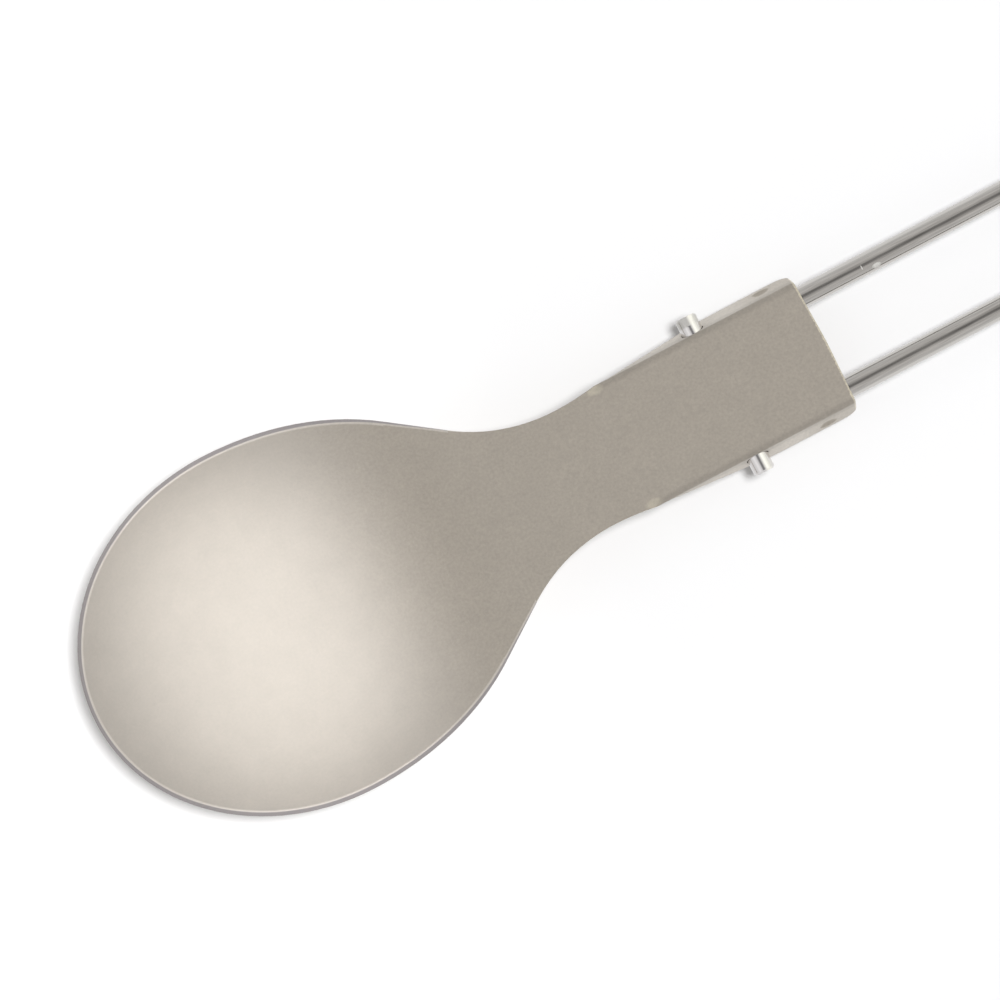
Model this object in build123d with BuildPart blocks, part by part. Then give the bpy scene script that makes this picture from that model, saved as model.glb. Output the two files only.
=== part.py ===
from build123d import *

import os
from math import asin, atan, acos, cos, degrees, hypot, radians, sin, tan

# Folding camp spoon, open and lying on a table. All lengths are in millimetres.
# X runs from the bowl to the far end of the handle, Y across the spoon, Z up from the table.
# The origin lies on the table under the middle of the spoon's length.
#
# The head is one pressed sheet: a bowl, a flared neck, and a flat plate whose sides are folded
# down. The handle is one bent wire. Its two ends turn outwards through the folded sides and are
# the pins that it swings on, down and forward, until it lies under the bowl.
#
# Both are drawn in the plate's own frame, where the plate's top is level and the pins lie under
# the origin. "Ahead" counts from the pins towards the bowl and "behind" towards the handle.

# Stock
sheet = 0.7
wire_radius = 1.15

# Bowl: two half ellipses that meet where the bowl is widest and deepest
bowl_ahead = 50.2
bowl_half_width = 18.55
bowl_front_length = 21.6
bowl_depth = 7.8
tip_lift = 0.9

# Neck, between the bowl's rear half and the plate
bowl_rear_length = 25.9
neck_ahead = 16.3
neck_half_width = 6.52
neck_flare_share = 0.525
press_ahead = 19.3
rim_bend_ahead = 33.0
neck_dish_share = 0.5

# Plate and its folded sides
plate_behind = 11.4
plate_rear_bulge = 0.15
plate_half_width = 6.93
fold_radius = 1.0
fold_ahead = 10.4
fold_run_out = 1.1
side_splay_angle = 12.7
side_depth = 5.0
side_full_behind = 1.5
side_belly_radius = 6.0
side_corner_radius = 1.6

# Dimples in the sides, which hold the open handle up under the plate
dimple_behind = 8.1
dimple_below = 3.3
dimple_radius = 1.0
dimple_height = 0.3

# Handle
handle_reach = 92.7
rod_half_spacing = 5.18
rod_gap = 0.15
pin_bend_radius = 1.25
pin_half_span = 8.87
pin_clearance = 0.1
pin_chamfer = 0.2
shear_length = 1.0
shear_depth = 0.29

# How far the sheet's upper and outer edges are broken by tumbling
edge_break = 0.12

# How far cuts and trimmed surfaces run past what they trim
overrun = 1.5

# Where the wire lies under the plate
wire_below = sheet + rod_gap + wire_radius
handle_end_behind = handle_reach - wire_radius

# The open spoon rests on the bowl's floor and on the handle's end, with the bowl's rim level. The
# plate and the handle run down from the rim to the table at this slope.
fall_run = bowl_ahead - (press_ahead + rim_bend_ahead) / 2
rest_run = handle_end_behind + bowl_ahead - fall_run
rest_rise = bowl_depth - wire_below
rest_slope = atan(rest_rise / rest_run) + asin((sheet - wire_radius) / hypot(rest_run, rest_rise))
rim_fall = fall_run * tan(rest_slope)
pin_height = wire_radius + handle_end_behind * sin(rest_slope)

# The tip of the sheet's underside, which is the spoon's front end
tip_ahead = bowl_ahead + bowl_front_length
tip_wall_angle = atan(2 * (bowl_depth + tip_lift) / bowl_front_length)
spoon_front = tip_ahead + sheet * sin(tip_wall_angle)
pin_x = (spoon_front - handle_reach) / 2 * cos(rest_slope)
plate_frame = Plane(
    origin=(pin_x + wire_below * sin(rest_slope), 0, pin_height + wire_below * cos(rest_slope)),
    x_dir=(cos(rest_slope), 0, -sin(rest_slope)),
    z_dir=(sin(rest_slope), 0, cos(rest_slope)),
)

# Plan of the neck: a straight flank touches the bowl's rear ellipse and the neck's waist circle.
# Drawn on, it would widen the neck to the bowl's width over this share of the run between them.
# From its narrowest place the neck widens again, along another circle, to where the folds begin.
flare_run = (bowl_ahead - neck_ahead) * neck_flare_share
flare = atan((bowl_half_width - neck_half_width) / flare_run)
flank_turn = atan(bowl_half_width / (bowl_rear_length * tan(flare)))
flank_ahead = bowl_ahead - bowl_rear_length * cos(flank_turn)
flank_side = bowl_half_width * sin(flank_turn)
waist_rise = flank_side - neck_half_width - (flank_ahead - neck_ahead) * tan(flare)
waist_radius = waist_rise / (1 - cos(flare) - tan(flare) * sin(flare))
splay = radians(side_splay_angle)
flat_half_width = plate_half_width - fold_radius * cos(splay)
run_out_ahead = fold_ahead + fold_run_out

# Plan of the pressed sheet, up to where its plate turns flat
with BuildSketch() as blank:
    with BuildLine():
        bowl_middle = (-bowl_ahead, 0)
        waist_middle = (-neck_ahead, neck_half_width + waist_radius)
        front = EllipticalCenterArc(
            bowl_middle, bowl_front_length, bowl_half_width, start_angle=90, arc_size=90
        )
        rear = EllipticalCenterArc(
            bowl_middle,
            bowl_rear_length,
            bowl_half_width,
            start_angle=degrees(flank_turn),
            arc_size=90 - degrees(flank_turn),
        )
        waist = CenterArc(waist_middle, waist_radius, 270 - degrees(flare), degrees(flare))
        Line(rear @ 0, waist @ 0)
        fold_start = (-run_out_ahead, plate_half_width)
        TangentArc(waist @ 1, fold_start, tangent=waist % 1)
        Polyline(fold_start, (-run_out_ahead, 0), front @ 1)
    make_face()
    mirror(about=Plane.XZ)


def press_surface(stations, middles, bulges):
    """A patch of the pressed surface: a parabola across at each station along the spoon."""
    half = bowl_half_width + overrun
    return Face.make_bezier_surface(
        [
            [
                (-ahead, -half, middle + bulge * half**2),
                (-ahead, 0, middle - bulge * half**2),
                (-ahead, half, middle + bulge * half**2),
            ]
            for ahead, middle, bulge in zip(stations, middles, bulges)
        ]
    )


# Heights of the surface's middle line, as the control values of two patches that meet at the
# bowl's deepest place with the same slope and curvature. The rear one starts flat at the plate.
bowl_bulge = bowl_depth / bowl_half_width**2
bowl_floor = -rim_fall - bowl_depth
floor_curve = (bowl_depth + tip_lift) / bowl_front_length**2

rear_step = (bowl_ahead - press_ahead) / 5
rear_stations = [press_ahead + rear_step * i for i in range(6)]
floor_before = bowl_floor + rear_step * tan(rest_slope)
rise_before = 2 * floor_before - bowl_floor + floor_curve * rear_step**2 * 5 / 2
rear_middles = [0, 0, 0, rise_before, floor_before, bowl_floor]
rear_bulges = [0, 0, bowl_bulge * neck_dish_share, bowl_bulge, bowl_bulge, bowl_bulge]

front_step = (bowl_front_length + overrun) / 2
front_stations = [bowl_ahead + front_step * i for i in range(3)]
floor_after = bowl_floor - front_step * tan(rest_slope)
tip_after = 2 * floor_after - bowl_floor + floor_curve * (2 * front_step) ** 2
front_middles = [bowl_floor, floor_after, tip_after]
front_bulges = [bowl_bulge, bowl_bulge, bowl_bulge]

rear_surface = press_surface(rear_stations, rear_middles, rear_bulges)
front_surface = press_surface(front_stations, front_middles, front_bulges)

# The pressed sheet: the surface trimmed to its plan and thickened downwards, square to itself
with BuildPart() as plan_cutter:
    add(blank.sketch)
    extrude(amount=bowl_half_width, both=True)

with BuildPart() as pressed_sheet:
    pressed_faces = [
        surface.intersect(plan_cutter.part).faces()[0] for surface in (rear_surface, front_surface)
    ]
    thicken([Shell(pressed_faces)], amount=sheet, normal_override=(0, 0, -1))
    rims = pressed_sheet.edges().filter_by(lambda rim: abs((rim @ 0.5).X - (rim @ 0).X) > sheet)
    lower_rim_top = -rim_fall - sheet / 2
    upper_rims = rims.filter_by(lambda rim: min((rim @ 0).Z, (rim @ 1).Z) > lower_rim_top)
    chamfer(upper_rims, edge_break)

# The flat plate: the end of the neck, then the strip between the folded sides
with BuildSketch() as plate_plan:
    add(blank.sketch)
    with Locations((-press_ahead, 0)):
        Rectangle(
            press_ahead, 2 * bowl_half_width, align=(Align.MIN, Align.CENTER), mode=Mode.INTERSECT
        )
    with BuildLine():
        strip_side = Line((-run_out_ahead, flat_half_width), (plate_behind, flat_half_width))
        rear_edge = Spline(
            strip_side @ 1,
            (plate_behind + plate_rear_bulge, 0),
            (plate_behind, -flat_half_width),
            tangents=((0, -1), (0, -1)),
        )
        Polyline(rear_edge @ 1, (-run_out_ahead, -flat_half_width), strip_side @ 0)
    make_face()

with BuildPart() as flat_plate:
    add(plate_plan.sketch)
    extrude(amount=-sheet)
    curved_edges = flat_plate.edges().filter_by(GeomType.LINE, reverse=True)
    chamfer(curved_edges.group_by(Axis.Z)[-1], edge_break)

# Sections of a folded side, drawn across the spoon: the plain edge that the bend runs out into,
# the bend, and the splayed wall below it
bend_front = Plane(origin=(-fold_ahead, 0, 0), x_dir=(0, 1, 0), z_dir=(1, 0, 0))
bend_drop = fold_radius * (1 - sin(splay))
wall_length = (side_depth - bend_drop) / cos(splay)
wall_step = (wall_length * sin(splay), -wall_length * cos(splay))

with BuildSketch(bend_front.offset(-fold_run_out)) as edge_section:
    with Locations((flat_half_width, 0)):
        Rectangle(plate_half_width - flat_half_width, sheet, align=(Align.MIN, Align.MAX))

with BuildSketch(bend_front) as bend_section:
    with BuildLine():
        bend_middle = (flat_half_width, -fold_radius)
        bend_turn = 90 - side_splay_angle
        outer_bend = CenterArc(bend_middle, fold_radius, side_splay_angle, bend_turn)
        inner_bend = CenterArc(bend_middle, fold_radius - sheet, side_splay_angle, bend_turn)
        Line(outer_bend @ 0, inner_bend @ 0)
        Line(outer_bend @ 1, inner_bend @ 1)
    make_face()

with BuildSketch(bend_front) as wall_section:
    with BuildLine():
        Polyline(
            outer_bend @ 0,
            outer_bend @ 0 + wall_step,
            inner_bend @ 0 + wall_step,
            inner_bend @ 0,
            close=True,
        )
    make_face()

# The wall's outline in its own plane, where X runs behind the pins and Y down the wall
wall_plane = Plane(
    origin=(0, plate_half_width, -bend_drop), x_dir=(1, 0, 0), z_dir=(0, cos(splay), sin(splay))
)
with BuildSketch(wall_plane) as wall_outline:
    with BuildLine():
        bottom = FilletPolyline(
            (-fold_ahead, 0),
            (side_full_behind, wall_length),
            (plate_behind, wall_length),
            (plate_behind, 0),
            radius=(side_belly_radius, side_corner_radius),
        )
        Line(bottom @ 1, bottom @ 0)
    make_face()

# A dimple's cap: its base lies on the wall's outside and its top points at the rod
cap_radius = (dimple_radius**2 + dimple_height**2) / (2 * dimple_height)
cap_turn = degrees(acos(dimple_radius / cap_radius))
dimple_at = wall_plane.from_local_coords((dimple_behind, (dimple_below - bend_drop) / cos(splay)))
dimple_plane = Plane(origin=dimple_at, x_dir=(1, 0, 0), z_dir=-wall_plane.z_dir)

with BuildPart(dimple_plane.offset(dimple_height - cap_radius)) as dimple_cap:
    Sphere(cap_radius, arc_size1=cap_turn, arc_size2=90, align=None)

with BuildPart() as side_wall:
    extrude(wall_section.sketch, amount=fold_ahead + plate_behind)
    extrude(wall_outline.sketch, amount=fold_radius, both=True, mode=Mode.INTERSECT)
    wall_outside = side_wall.faces().filter_by(wall_plane).sort_by(Axis.Y)[-1]
    chamfer(wall_outside.edges().sort_by(SortBy.LENGTH)[:-1], edge_break)

with BuildPart() as side_bend:
    extrude(bend_section.sketch, amount=fold_ahead + plate_behind)
    bend_rear = side_bend.edges().filter_by(GeomType.CIRCLE).group_by(Axis.X)[-1]
    chamfer(bend_rear.sort_by(SortBy.LENGTH)[-1], edge_break)

with BuildPart() as folded_sides:
    loft([edge_section.sketch.face(), bend_section.sketch.face()], ruled=True)
    add(side_bend.part)
    add(side_wall.part)
    add(dimple_cap.part, mode=Mode.SUBTRACT)
    with Locations(dimple_plane.z_dir * sheet):
        add(dimple_cap.part)
    mirror(about=Plane.XZ)

# The head, with its pin holes straight through both sides
with BuildPart(plate_frame) as spoon_head:
    add(pressed_sheet.part)
    add(flat_plate.part)
    add(folded_sides.part)
    with Locations(Location((0, 0, -wire_below), (90, 0, 0))):
        Cylinder(wire_radius + pin_clearance, 2 * pin_half_span, mode=Mode.SUBTRACT)

# The handle: one wire along its middle line, from pin to pin
with BuildLine(Plane.XY.offset(-wire_below)) as wire_line:
    pin_inner = rod_half_spacing + pin_bend_radius
    rod_end = handle_end_behind - rod_half_spacing
    pin = Line((0, pin_half_span), (0, pin_inner))
    CenterArc((pin_bend_radius, pin_inner), pin_bend_radius, 180, 90)
    Line((pin_bend_radius, rod_half_spacing), (rod_end, rod_half_spacing))
    CenterArc((rod_end, 0), rod_half_spacing, 270, 180)
    Line((rod_end, -rod_half_spacing), (pin_bend_radius, -rod_half_spacing))
    CenterArc((pin_bend_radius, -pin_inner), pin_bend_radius, 90, 90)
    Line((0, -pin_inner), (0, -pin_half_span))

with BuildSketch(Plane(origin=pin @ 0, z_dir=(0, -1, 0))) as wire_section:
    Circle(wire_radius)

# The left pin was cut off with a sloping shear, which left a flat on its top
with BuildSketch(Plane.YZ.offset(-wire_radius)) as shear_section:
    with BuildLine():
        pin_top = wire_radius - wire_below
        Polyline(
            (pin_half_span - shear_length, pin_top),
            (pin_half_span, pin_top - shear_depth),
            (pin_half_span, pin_top),
            close=True,
        )
    make_face()

with BuildPart() as bent_wire:
    sweep(wire_section.sketch, path=wire_line.line)
    end_rims = bent_wire.edges().filter_by(GeomType.CIRCLE).group_by(Axis.Y)
    chamfer(end_rims[0] + end_rims[-1], pin_chamfer)
    extrude(shear_section.sketch, amount=2 * wire_radius, mode=Mode.SUBTRACT)

with BuildPart(plate_frame) as wire_handle:
    add(bent_wire.part)

spoon_head.part.label = "spoon_head"
wire_handle.part.label = "wire_handle"

os.makedirs("parts", exist_ok=True)
export_step(spoon_head.part, "parts/spoon_head.step")
export_step(wire_handle.part, "parts/wire_handle.step")
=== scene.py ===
import math

import bpy
from mathutils import Matrix, Vector

# Looks of a folding camp spoon of bead-blasted titanium sheet with a handle of bright drawn wire.
# Lengths are in metres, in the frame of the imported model: X runs from the bowl to the far end of
# the handle, Y to the left and Z up from the table.

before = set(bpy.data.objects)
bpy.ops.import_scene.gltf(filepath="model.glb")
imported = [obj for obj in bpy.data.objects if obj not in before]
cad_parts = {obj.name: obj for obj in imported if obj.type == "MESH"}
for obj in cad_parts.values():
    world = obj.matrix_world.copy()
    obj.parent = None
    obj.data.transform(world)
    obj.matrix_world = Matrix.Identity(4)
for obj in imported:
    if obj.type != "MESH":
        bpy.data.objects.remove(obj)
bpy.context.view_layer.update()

# The spoon's own places along X, its lengths, and its distances from the middle line, which the
# finishes follow. A flank is the straight side of the rim behind the round bowl, and the folds are
# the bends between the plate and its two sides.
bowl_place = -0.06033
bowl_front_length = 0.0216
bowl_rear_length = 0.0259
bowl_half_width = 0.01855
flank_place = -0.04252
flank_side = 0.01349
flank_slope = 0.676
neck_place = -0.037
fold_place = -0.0216
plate_side = 0.006
plate_rear = 0.00141
plate_rear_bulge = 0.00015
pin_place = -0.01022
pin_side = 0.0062
handle_bend_place = 0.07606


# Node helpers

# A Mix node's two inputs and its output, by the kind of value that it mixes
mix_sockets = {"FLOAT": (2, 3, 0), "RGBA": (6, 7, 2)}

# How deep each noise pattern goes into finer ones, how much these count, and its middle value
noise_detail = 3.0
noise_fineness = 0.6
noise_middle = 0.5

# From the outline of a round spot, where the squared share is one, to where the spot is full
spot_band = (1.0, 0.1)


def feed(tree, value, socket):
    """Links an output to a socket, or sets a plain number or colour on it."""
    if isinstance(value, bpy.types.NodeSocket):
        tree.links.new(value, socket)
    elif isinstance(value, tuple):
        socket.default_value = (*value, 1.0)
    else:
        socket.default_value = value


def maths(tree, operation, *values):
    """A Math node on one to three values."""
    node = tree.nodes.new("ShaderNodeMath")
    node.operation = operation
    for slot, value in enumerate(values):
        feed(tree, value, node.inputs[slot])
    return node.outputs[0]


def product(tree, value, *factors):
    """A value times all its factors."""
    for factor in factors:
        value = maths(tree, "MULTIPLY", value, factor)
    return value


def squared_share(tree, distance, reach):
    """The square of a distance, taken as a share of a reach."""
    return maths(tree, "POWER", maths(tree, "DIVIDE", distance, reach), 2.0)


def smooth_range(tree, value, band, low=0.0, high=1.0):
    """Goes smoothly from low to high as the value crosses the band, and stays level outside it."""
    node = tree.nodes.new("ShaderNodeMapRange")
    node.interpolation_type = "SMOOTHSTEP"
    labels = ("Value", "From Min", "From Max", "To Min", "To Max")
    for label, setting in zip(labels, (value, *band, low, high)):
        feed(tree, setting, node.inputs[label])
    return node.outputs["Result"]


def mix(tree, mask, first, second, kind="RGBA"):
    """The first value where the mask is nought and the second where it is one."""
    node = tree.nodes.new("ShaderNodeMix")
    node.data_type = kind
    first_slot, second_slot, result_slot = mix_sockets[kind]
    feed(tree, mask, node.inputs["Factor"])
    feed(tree, first, node.inputs[first_slot])
    feed(tree, second, node.inputs[second_slot])
    return node.outputs[result_slot]


def mix_shaders(tree, mask, first, second):
    """The first shader where the mask is nought and the second where it is one."""
    node = tree.nodes.new("ShaderNodeMixShader")
    for slot, value in enumerate((mask, first, second)):
        feed(tree, value, node.inputs[slot])
    return node.outputs[0]


def noise(tree, place, per_metre, fineness=noise_fineness):
    """A noise pattern from nought to one, about so many grains to the metre."""
    node = tree.nodes.new("ShaderNodeTexNoise")
    settings = {"Vector": place, "Scale": per_metre, "Detail": noise_detail, "Roughness": fineness}
    for label, setting in settings.items():
        feed(tree, setting, node.inputs[label])
    return node.outputs["Fac"]


def split_axes(tree, vector):
    """The X, Y and Z of a vector, each under its own letter."""
    node = tree.nodes.new("ShaderNodeSeparateXYZ")
    feed(tree, vector, node.inputs[0])
    return node.outputs


def join_axes(tree, **axes):
    """A vector of the axes that are given. An axis left out is nought."""
    node = tree.nodes.new("ShaderNodeCombineXYZ")
    for letter, value in axes.items():
        feed(tree, value, node.inputs[letter])
    return node.outputs[0]


def spot_mask(tree, along, across, middle, half_size):
    """One inside a small ellipse seen from above, and nought outside it."""
    first = squared_share(tree, maths(tree, "SUBTRACT", along, middle[0]), half_size[0])
    second = squared_share(tree, maths(tree, "SUBTRACT", across, middle[1]), half_size[1])
    return smooth_range(tree, maths(tree, "ADD", first, second), spot_band)


def flat_angle_mask(tree, band, strength):
    """Nought where the metal faces the viewer, up to a strength where it is seen at a flat angle."""
    facing = tree.nodes.new("ShaderNodeLayerWeight").outputs["Facing"]
    return smooth_range(tree, facing, band, 0.0, strength)


# Shared by both metals

# How fine the grain is within itself, and how many clouds there are to the metre
grain_fineness = 0.62
clouds_per_metre = 420.0


def new_group(name, inputs, outputs):
    """An empty shader node group, with its input and output nodes."""
    group = bpy.data.node_groups.new(name, "ShaderNodeTree")
    for label, kind in inputs:
        group.interface.new_socket(label, in_out="INPUT", socket_type=kind)
    for label, kind in outputs:
        group.interface.new_socket(label, in_out="OUTPUT", socket_type=kind)
    return group, group.nodes.new("NodeGroupInput"), group.nodes.new("NodeGroupOutput")


def make_tumble_marks():
    """Fine grain and broad clouding that blasting and tumbling leave on titanium."""
    group, inside, outside = new_group(
        "tumble_marks",
        [("Place", "NodeSocketVector"), ("Grain per metre", "NodeSocketFloat")],
        [("Grain", "NodeSocketFloat"), ("Clouding", "NodeSocketFloat")],
    )
    place = inside.outputs["Place"]
    grain = noise(group, place, inside.outputs["Grain per metre"], grain_fineness)
    clouding = noise(group, place, clouds_per_metre)
    feed(group, grain, outside.inputs["Grain"])
    feed(group, clouding, outside.inputs["Clouding"])
    return group


def add_marks(tree, marks_group, grain_per_metre):
    """Places the marks in a material, on its Object coordinates, and returns both."""
    place = tree.nodes.new("ShaderNodeTexCoord").outputs["Object"]
    marks = tree.nodes.new("ShaderNodeGroup")
    marks.node_tree = marks_group
    feed(tree, place, marks.inputs["Place"])
    feed(tree, grain_per_metre, marks.inputs["Grain per metre"])
    return place, marks


def new_material(name):
    """A new material, with its node tree and its Principled BSDF."""
    material = bpy.data.materials.new(name)
    material.use_nodes = True
    return material, material.node_tree, material.node_tree.nodes["Principled BSDF"]


def dress_metal(tree, shader, colour, roughness, relief, relief_strength, relief_height):
    """Gives a metal its colour, its roughness and the fine relief that breaks up its gloss."""
    shader.inputs["Metallic"].default_value = 1.0
    feed(tree, colour, shader.inputs["Base Color"])
    feed(tree, roughness, shader.inputs["Roughness"])
    bump = tree.nodes.new("ShaderNodeBump")
    bump.inputs["Strength"].default_value = relief_strength
    bump.inputs["Distance"].default_value = relief_height
    feed(tree, relief, bump.inputs["Height"])
    feed(tree, bump.outputs["Normal"], shader.inputs["Normal"])


# Finish of the sheet

# Colours
plate_grey = (0.467, 0.43, 0.38)
# the bowl's paler grey is partly its finish and partly a painted pool of light
bowl_grey_with_painted_light = (0.545, 0.513, 0.473)
# a painted highlight along the rim's inner corner
rim_corner_painted_highlight = (0.70, 0.66, 0.62)
cut_edge_dark = (0.39, 0.366, 0.364)
# pale for the worn rear edge, and for painted glints where the folds start
worn_edge_and_glint_pale = (0.78, 0.73, 0.60)
# a painted reflection on sheet seen at a flat angle
flat_sheet_painted_reflection = (0.79, 0.755, 0.71)

# Bands over which the colours change. The two of the rim are measured outwards from it.
bowl_tone_band = (bowl_place + 0.0195, bowl_place + 0.005)
rim_corner_band = (-0.00022, -0.00012)
cut_edge_band = (-0.00002, 0.00007)
rear_edge_band = (plate_rear - 0.00026, plate_rear - 0.00014)
rear_corner_band = (plate_rear - 0.0075, plate_rear - 0.003)
flat_sheet_band = (0.56, 0.84)

# How strongly each one shows
rim_highlight_strength = 0.6
rear_edge_strength = 0.7
fold_glint_strength = 0.3
flat_sheet_strength = 0.57
rear_corner_share = 0.6

# The painted shade along each bend: where it begins and ends sideways, and where it starts along X
bend_begin_band = (plate_side, plate_side + 0.0006)
bend_end_band = (plate_side + 0.001, plate_side + 0.0013)
bend_start_band = (fold_place - 0.0006, fold_place + 0.0006)
bend_painted_shade_depth = 0.12

# The plate's worn rear edge, and the painted glints where the folds start: their middle and half size
rear_edge_side = plate_side + 0.0015
rear_edge_waver = 0.0003
fold_glint_middle = (fold_place - 0.0002, 0.0065)
fold_glint_half_size = (0.0011, 0.0006)

# Grain and clouding, with less grain in the bowl
sheet_grain_per_metre = 3400.0
clouding_strength = 0.09
speckle_strength = 0.5
speckle_lost_in_bowl = 0.25
sheet_roughness = 0.69
sheet_grain_roughness = 0.16
sheet_relief_strength = 0.5
sheet_relief_height = 0.000015


def past_rim(tree, along, side):
    """How far a place lies outside the rim of the bowl and its flanks, seen from above."""
    from_middle = maths(tree, "SUBTRACT", along, bowl_place)
    behind = maths(tree, "GREATER_THAN", from_middle, 0.0)
    reach = maths(tree, "MULTIPLY_ADD", behind, bowl_rear_length - bowl_front_length, bowl_front_length)
    along_share = squared_share(tree, from_middle, reach)
    side_share = squared_share(tree, side, bowl_half_width)
    share = maths(tree, "SQRT", maths(tree, "ADD", along_share, side_share))
    past_curve = maths(tree, "MULTIPLY_ADD", share, bowl_half_width, -bowl_half_width)
    flank_line = maths(tree, "MULTIPLY_ADD", along, -flank_slope, flank_place * flank_slope + flank_side)
    past_flank = maths(tree, "SUBTRACT", side, flank_line)
    on_flank = maths(tree, "GREATER_THAN", along, flank_place)
    return mix(tree, on_flank, past_curve, past_flank, kind="FLOAT")


def bend_painted_shade(tree, along, side):
    """One, and a little less on the bends between the plate and its folded sides, as painted shade."""
    begin = smooth_range(tree, side, bend_begin_band)
    end = smooth_range(tree, side, bend_end_band)
    folded = smooth_range(tree, along, bend_start_band)
    bend = product(tree, maths(tree, "SUBTRACT", begin, end), folded)
    return maths(tree, "MULTIPLY_ADD", bend, -bend_painted_shade_depth, 1.0)


def worn_edge_and_painted_glints(tree, along, side, grain):
    """The plate's worn rear edge, a little bulged and ragged, and painted glints where the folds start."""
    bulge = product(tree, squared_share(tree, side, plate_side), plate_rear_bulge)
    ragged = maths(tree, "MULTIPLY_ADD", grain, rear_edge_waver, -rear_edge_waver * noise_middle)
    to_rear = maths(tree, "ADD", maths(tree, "ADD", along, bulge), ragged)
    rear = smooth_range(tree, to_rear, rear_edge_band)
    on_plate = maths(tree, "LESS_THAN", side, rear_edge_side)
    rear_edge = product(tree, rear, on_plate, rear_edge_strength)
    fold_start = spot_mask(tree, along, side, fold_glint_middle, fold_glint_half_size)
    return maths(tree, "MAXIMUM", rear_edge, product(tree, fold_start, fold_glint_strength))


def make_blasted_titanium(marks_group):
    """The sheet: matt and warm grey, dark on its cut rim and worn pale on the plate's rear edge, with
    painted light: a paler bowl in part, a highlight on the rim's corner, glints where the folds start,
    shade on the bends and reflections on the folded sides.
    """
    material, tree, shader = new_material("blasted_titanium")
    place, marks = add_marks(tree, marks_group, sheet_grain_per_metre)
    grain = marks.outputs["Grain"]
    axes = split_axes(tree, place)
    along = axes["X"]
    side = maths(tree, "ABSOLUTE", axes["Y"])

    in_bowl = smooth_range(tree, along, bowl_tone_band)
    # the bowl is paler: partly its finish, partly a painted pool of light
    colour = mix(tree, in_bowl, plate_grey, bowl_grey_with_painted_light)

    past = past_rim(tree, along, side)
    before_neck = maths(tree, "LESS_THAN", along, neck_place)
    # a painted highlight along the rim's inner corner
    corner = product(tree, smooth_range(tree, past, rim_corner_band), before_neck, rim_highlight_strength)
    colour = mix(tree, corner, colour, rim_corner_painted_highlight)
    cut = product(tree, smooth_range(tree, past, cut_edge_band), before_neck)
    colour = mix(tree, cut, colour, cut_edge_dark)
    # the worn rear edge, and painted glints where the folds start
    colour = mix(tree, worn_edge_and_painted_glints(tree, along, side, grain), colour, worn_edge_and_glint_pale)

    # painted reflection: the folded sides, seen at a flat angle, are paler, but less so near the rear
    # corners
    flat = flat_angle_mask(tree, flat_sheet_band, flat_sheet_strength)
    near_corner = smooth_range(tree, along, rear_corner_band, 1.0, rear_corner_share)
    flat = product(tree, flat, near_corner, maths(tree, "SUBTRACT", 1.0, cut))
    colour = mix(tree, flat, colour, flat_sheet_painted_reflection)

    cloud_middle = 1.0 - clouding_strength * noise_middle
    clouded = maths(tree, "MULTIPLY_ADD", marks.outputs["Clouding"], clouding_strength, cloud_middle)
    speckle = maths(tree, "MULTIPLY_ADD", in_bowl, -speckle_lost_in_bowl, speckle_strength)
    speckled = maths(tree, "MULTIPLY_ADD", maths(tree, "SUBTRACT", grain, noise_middle), speckle, 1.0)
    shaded = tree.nodes.new("ShaderNodeVectorMath")
    shaded.operation = "SCALE"
    feed(tree, colour, shaded.inputs[0])
    feed(tree, product(tree, clouded, speckled, bend_painted_shade(tree, along, side)), shaded.inputs["Scale"])
    colour = shaded.outputs[0]

    roughness = maths(tree, "MULTIPLY_ADD", grain, sheet_grain_roughness, sheet_roughness)
    dress_metal(tree, shader, colour, roughness, grain, sheet_relief_strength, sheet_relief_height)
    return material


# Finish of the wire

# Colours
# the streaks are die marks; their dark colours are also a painted dark reflection seen straight on
streak_and_reflection_dark = (0.15, 0.141, 0.131)
streak_and_reflection_pale = (0.42, 0.40, 0.377)
# a painted reflection on the wire's edges
flat_wire_painted_reflection = (0.77, 0.75, 0.72)
scuff_pale = (0.68, 0.67, 0.64)
pin_grey = (0.66, 0.64, 0.64)
sheared_grey = (0.45, 0.44, 0.42)
# a painted highlight on the pins
pin_painted_highlight = (0.96, 0.94, 0.85)

# Bands over which the colours change, and how far
flat_wire_band = (0.0, 0.42)
flat_wire_strength = 0.58
pin_end_band = (0.0066, 0.0071)
pin_end_strength = 0.8
pin_highlight_begin_band = (pin_place, pin_place + 0.0004)
pin_highlight_end_band = (pin_place + 0.0006, pin_place + 0.001)
pin_highlight_end_share = 0.3
sheared_band = (0.0077, 0.0080)

# Two scuffs on the left rod, one along it and one across it: middle and half size
long_scuff = ((0.0096, 0.0045), (0.0006, 0.0003))
cross_scuff = ((0.0081, 0.0050), (0.00008, 0.0003))

# Streaks from the drawing die, drawn out along the wire, and the grain on them
streaks_per_metre = 5200.0
streak_pace_along = 0.03
wire_grain_per_metre = 4000.0
wire_roughness = 0.08
streak_roughness = 0.1
wire_grain_roughness = 0.04
scuff_roughness = 0.4
wire_relief_strength = 0.25
wire_relief_height = 0.00002


def across_wire(tree, axes, side):
    """A place across the wire: sideways on the rods, the radius in the end bend, X on the pins."""
    past_rods = maths(tree, "MAXIMUM", maths(tree, "SUBTRACT", axes["X"], handle_bend_place), 0.0)
    radius = tree.nodes.new("ShaderNodeVectorMath")
    radius.operation = "LENGTH"
    feed(tree, join_axes(tree, X=past_rods, Y=axes["Y"]), radius.inputs[0])
    on_pin = maths(tree, "GREATER_THAN", side, pin_side)
    off_pin = maths(tree, "SUBTRACT", 1.0, on_pin)
    on_rods = product(tree, off_pin, radius.outputs["Value"])
    return maths(tree, "ADD", on_rods, product(tree, on_pin, axes["X"]))


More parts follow.
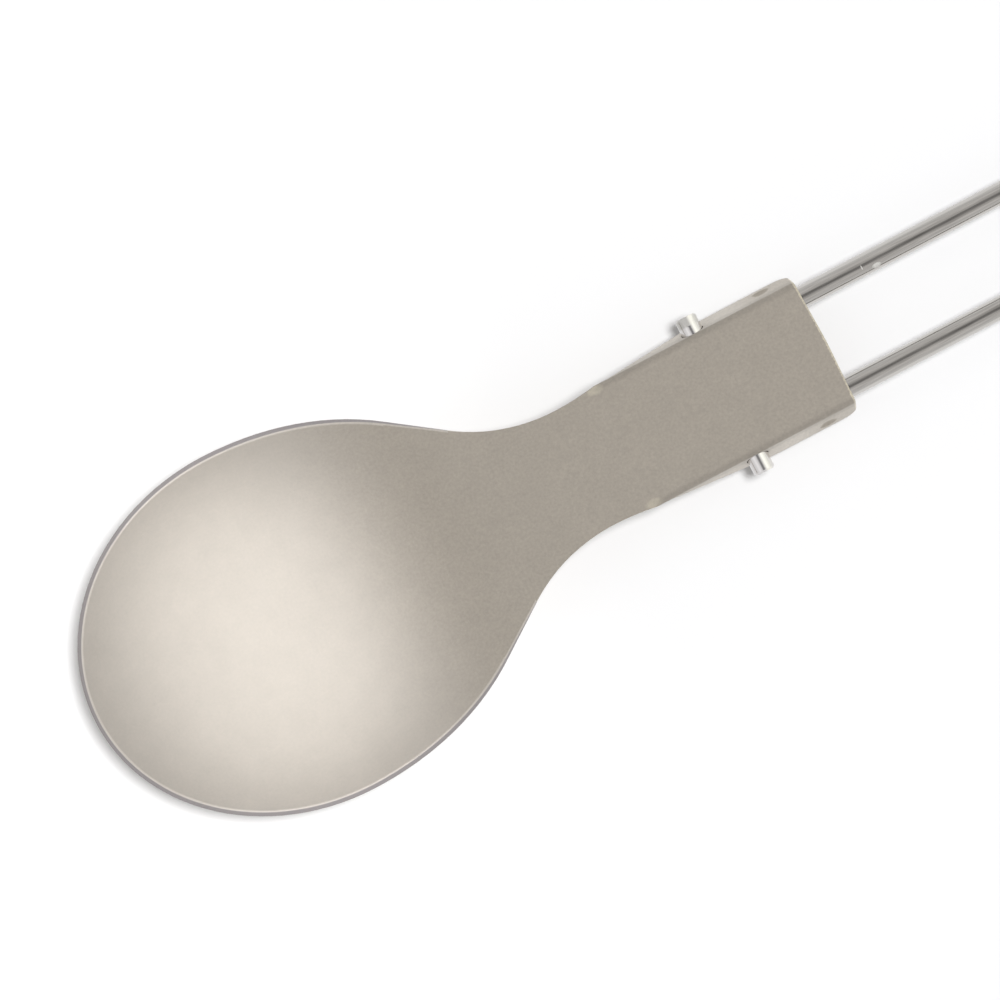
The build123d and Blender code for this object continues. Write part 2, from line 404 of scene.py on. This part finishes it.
def pin_colour(tree, axes):
    """The pins: a painted highlight on their rear half, duller in front, greyest where the left one was
    sheared.
    """
    begin = smooth_range(tree, axes["X"], pin_highlight_begin_band)
    end = smooth_range(tree, axes["X"], pin_highlight_end_band, 1.0, pin_highlight_end_share)
    sheared = smooth_range(tree, axes["Y"], sheared_band)
    colour = mix(tree, sheared, pin_grey, sheared_grey)
    return mix(tree, product(tree, begin, end), colour, pin_painted_highlight)


def make_drawn_titanium(marks_group):
    """The wire: streaks along it, darkened straight on and paler at its edges as painted reflection, two
    scuffs on its left rod, and pins with a painted highlight.
    """
    material, tree, shader = new_material("drawn_titanium")
    place, marks = add_marks(tree, marks_group, wire_grain_per_metre)
    axes = split_axes(tree, place)
    side = maths(tree, "ABSOLUTE", axes["Y"])

    drawn_out = maths(tree, "MULTIPLY", axes["X"], streak_pace_along)
    streak_place = join_axes(tree, X=drawn_out, Y=across_wire(tree, axes, side), Z=axes["Z"])
    streaks = noise(tree, streak_place, streaks_per_metre)
    colour = mix(tree, streaks, streak_and_reflection_dark, streak_and_reflection_pale)

    # painted reflection: the wire is dark where it is seen straight on, and paler towards its edges
    colour = mix(tree, flat_angle_mask(tree, flat_wire_band, flat_wire_strength), colour, flat_wire_painted_reflection)

    scuffs = [spot_mask(tree, axes["X"], axes["Y"], *scuff) for scuff in (long_scuff, cross_scuff)]
    scuffed = maths(tree, "MAXIMUM", *scuffs)
    colour = mix(tree, scuffed, colour, scuff_pale)
    pin_end = smooth_range(tree, side, pin_end_band, 0.0, pin_end_strength)
    colour = mix(tree, pin_end, colour, pin_colour(tree, axes))

    roughness = maths(tree, "MULTIPLY_ADD", streaks, streak_roughness, wire_roughness)
    roughness = maths(tree, "MULTIPLY_ADD", marks.outputs["Grain"], wire_grain_roughness, roughness)
    roughness = maths(tree, "MULTIPLY_ADD", scuffed, scuff_roughness, roughness)
    dress_metal(tree, shader, colour, roughness, streaks, wire_relief_strength, wire_relief_height)
    return material


tumble_marks = make_tumble_marks()
finishes = {
    "spoon_head": make_blasted_titanium(tumble_marks),
    "wire_handle": make_drawn_titanium(tumble_marks),
}
for node_name, finish in finishes.items():
    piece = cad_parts[node_name]
    piece.data.materials.clear()
    piece.data.materials.append(finish)


# Table, room, lamps and camera

white = (1.0, 1.0, 1.0)

# The table: its half width, its tone, and the tones that the camera sees by the bowl and by the handle,
# darker by the handle as a painted falloff of light
table_half_width = 1.5
table_tone = (0.85, 0.85, 0.85)
table_painted_lighter_by_bowl = (0.87, 0.87, 0.875)
table_painted_dimmer_by_handle = (0.735, 0.735, 0.74)
table_tone_band = (-0.06, -0.025)

# The room's light by height, from nought at the horizon to one straight above the table, and the
# part of it that the matt table goes without
room_levels = ((0.0, 0.85), (0.35, 1.0), (0.75, 1.3), (0.93, 1.05), (0.985, 0.5), (0.995, 0.25))
room_light_lost = 0.55

# Two narrow beams on the bowl, one from each side
beam_target = Vector((bowl_place - 0.0031, 0, 0.004))
beam_behind = 0.045
beam_height = 0.4
beam_shifts = {"bowl_beam_left": 0.23, "bowl_beam_right": -0.23}
beam_power = 0.00122
beam_width = 0.0305
beam_length = 0.034
beam_spread = math.radians(2.0)

# The light that gives the spoon its soft shadow
table_light_place = (0.14, 0, 1)
table_light_power = 2.78
table_light_angle = math.radians(12)

# The camera: what it points at, its height over that, its turn, the scale of the picture, and the
# nearest and farthest that it sees
camera_aim = (-0.03552, 0.00108, 0.0079)
camera_distance = 0.9
camera_turn = math.radians(-27.6)
picture_pixels = 1000
pixels_per_metre = 9840
nearest_seen = 0.01
farthest_seen = 20


def make_table_white():
    """A matt white that takes the shadow, mirrors as plain white and doesn't hide the spoon from below."""
    material, tree, principled = new_material("white_table")
    material.cycles.emission_sampling = "NONE"
    tree.nodes.remove(principled)
    rays = tree.nodes.new("ShaderNodeLightPath").outputs
    place = tree.nodes.new("ShaderNodeTexCoord").outputs["Object"]
    # a painted falloff of light: the table that the camera sees is darker by the handle than by the bowl
    past_bowl = smooth_range(tree, split_axes(tree, place)["X"], table_tone_band)
    seen = mix(tree, past_bowl, table_painted_lighter_by_bowl, table_painted_dimmer_by_handle)
    matt = tree.nodes.new("ShaderNodeBsdfDiffuse")
    feed(tree, mix(tree, rays["Is Camera Ray"], table_tone, seen), matt.inputs["Color"])

    mirrored = tree.nodes.new("ShaderNodeEmission")
    feed(tree, white, mirrored.inputs["Color"])
    lit = mix_shaders(tree, rays["Is Glossy Ray"], matt.outputs[0], mirrored.outputs[0])

    behind = tree.nodes.new("ShaderNodeNewGeometry").outputs["Backfacing"]
    clear = tree.nodes.new("ShaderNodeBsdfTransparent")
    from_below = product(tree, behind, rays["Is Camera Ray"])
    surface = mix_shaders(tree, from_below, lit, clear.outputs[0])
    feed(tree, surface, tree.nodes["Material Output"].inputs["Surface"])
    return material


def make_table():
    """A wide flat table under the spoon, which isn't part of it."""
    mesh = bpy.data.meshes.new("table_top")
    reach = table_half_width
    corners = [(-reach, -reach, 0), (reach, -reach, 0), (reach, reach, 0), (-reach, reach, 0)]
    mesh.from_pydata(corners, [], [(0, 1, 2, 3)])
    mesh.materials.append(make_table_white())
    floor = bpy.data.objects.new("table_top", mesh)
    bpy.context.scene.collection.objects.link(floor)


def make_room():
    """A white room: dim straight above, brightest further down and softer at the horizon."""
    world = bpy.data.worlds.new("studio")
    world.use_nodes = True
    tree = world.node_tree
    background = tree.nodes["Background"]
    rays = tree.nodes.new("ShaderNodeLightPath").outputs
    direction = tree.nodes.new("ShaderNodeTexCoord").outputs["Generated"]
    ramp = tree.nodes.new("ShaderNodeValToRGB")
    ramp.color_ramp.interpolation = "EASE"
    stops = ramp.color_ramp.elements
    stops.remove(stops[-1])
    for height, level in room_levels:
        stop = stops[0] if height == 0 else stops.new(height)
        stop.color = (level, level, level, 1)
    feed(tree, split_axes(tree, direction)["Z"], ramp.inputs["Fac"])
    feed(tree, mix(tree, rays["Is Camera Ray"], ramp.outputs["Color"], white), background.inputs["Color"])
    strength = maths(tree, "MULTIPLY_ADD", rays["Is Diffuse Ray"], -room_light_lost, 1.0)
    feed(tree, strength, background.inputs["Strength"])
    bpy.context.scene.world = world


def add_lamp(name, kind, place, target, power, **settings):
    """A lamp that points from its place to a target and isn't seen itself."""
    lamp = bpy.data.lights.new(name, kind)
    lamp.energy = power
    for setting, value in settings.items():
        setattr(lamp, setting, value)
    holder = bpy.data.objects.new(name, lamp)
    bpy.context.scene.collection.objects.link(holder)
    holder.location = place
    holder.rotation_mode = "QUATERNION"
    away = (Vector(place) - Vector(target)).normalized()
    along = Vector((0, 1, 0)).cross(away).normalized()
    turned = Matrix((along, away.cross(along), away)).transposed()
    holder.rotation_quaternion = turned.to_quaternion()
    holder.visible_camera = False
    return holder


def add_lamps():
    """Beams that only the metal mirrors, and a light on the table that no metal mirrors."""
    for name, shift in beam_shifts.items():
        place = beam_target + Vector((beam_behind, shift, beam_height))
        beam = add_lamp(
            name,
            "AREA",
            place,
            beam_target,
            beam_power,
            shape="ELLIPSE",
            size=beam_width,
            size_y=beam_length,
            spread=beam_spread,
        )
        beam.visible_diffuse = False
    table_light = add_lamp(
        "table_light",
        "SUN",
        table_light_place,
        (0, 0, 0),
        table_light_power,
        angle=table_light_angle,
    )
    table_light.visible_glossy = False


def make_camera():
    """Straight above the table, turned so that the spoon lies across the picture."""
    camera = bpy.data.objects.new("camera", bpy.data.cameras.new("camera"))
    bpy.context.scene.collection.objects.link(camera)
    picture_width = picture_pixels / pixels_per_metre
    camera.data.lens = camera.data.sensor_width * camera_distance / picture_width
    camera.data.clip_start = nearest_seen
    camera.data.clip_end = farthest_seen
    aim_x, aim_y, aim_height = camera_aim
    camera.location = (aim_x, aim_y, camera_distance + aim_height)
    camera.rotation_euler = (0, 0, camera_turn)
    bpy.context.scene.camera = camera


make_table()
make_room()
make_camera()
add_lamps()
bpy.context.scene.view_settings.view_transform = "Standard"
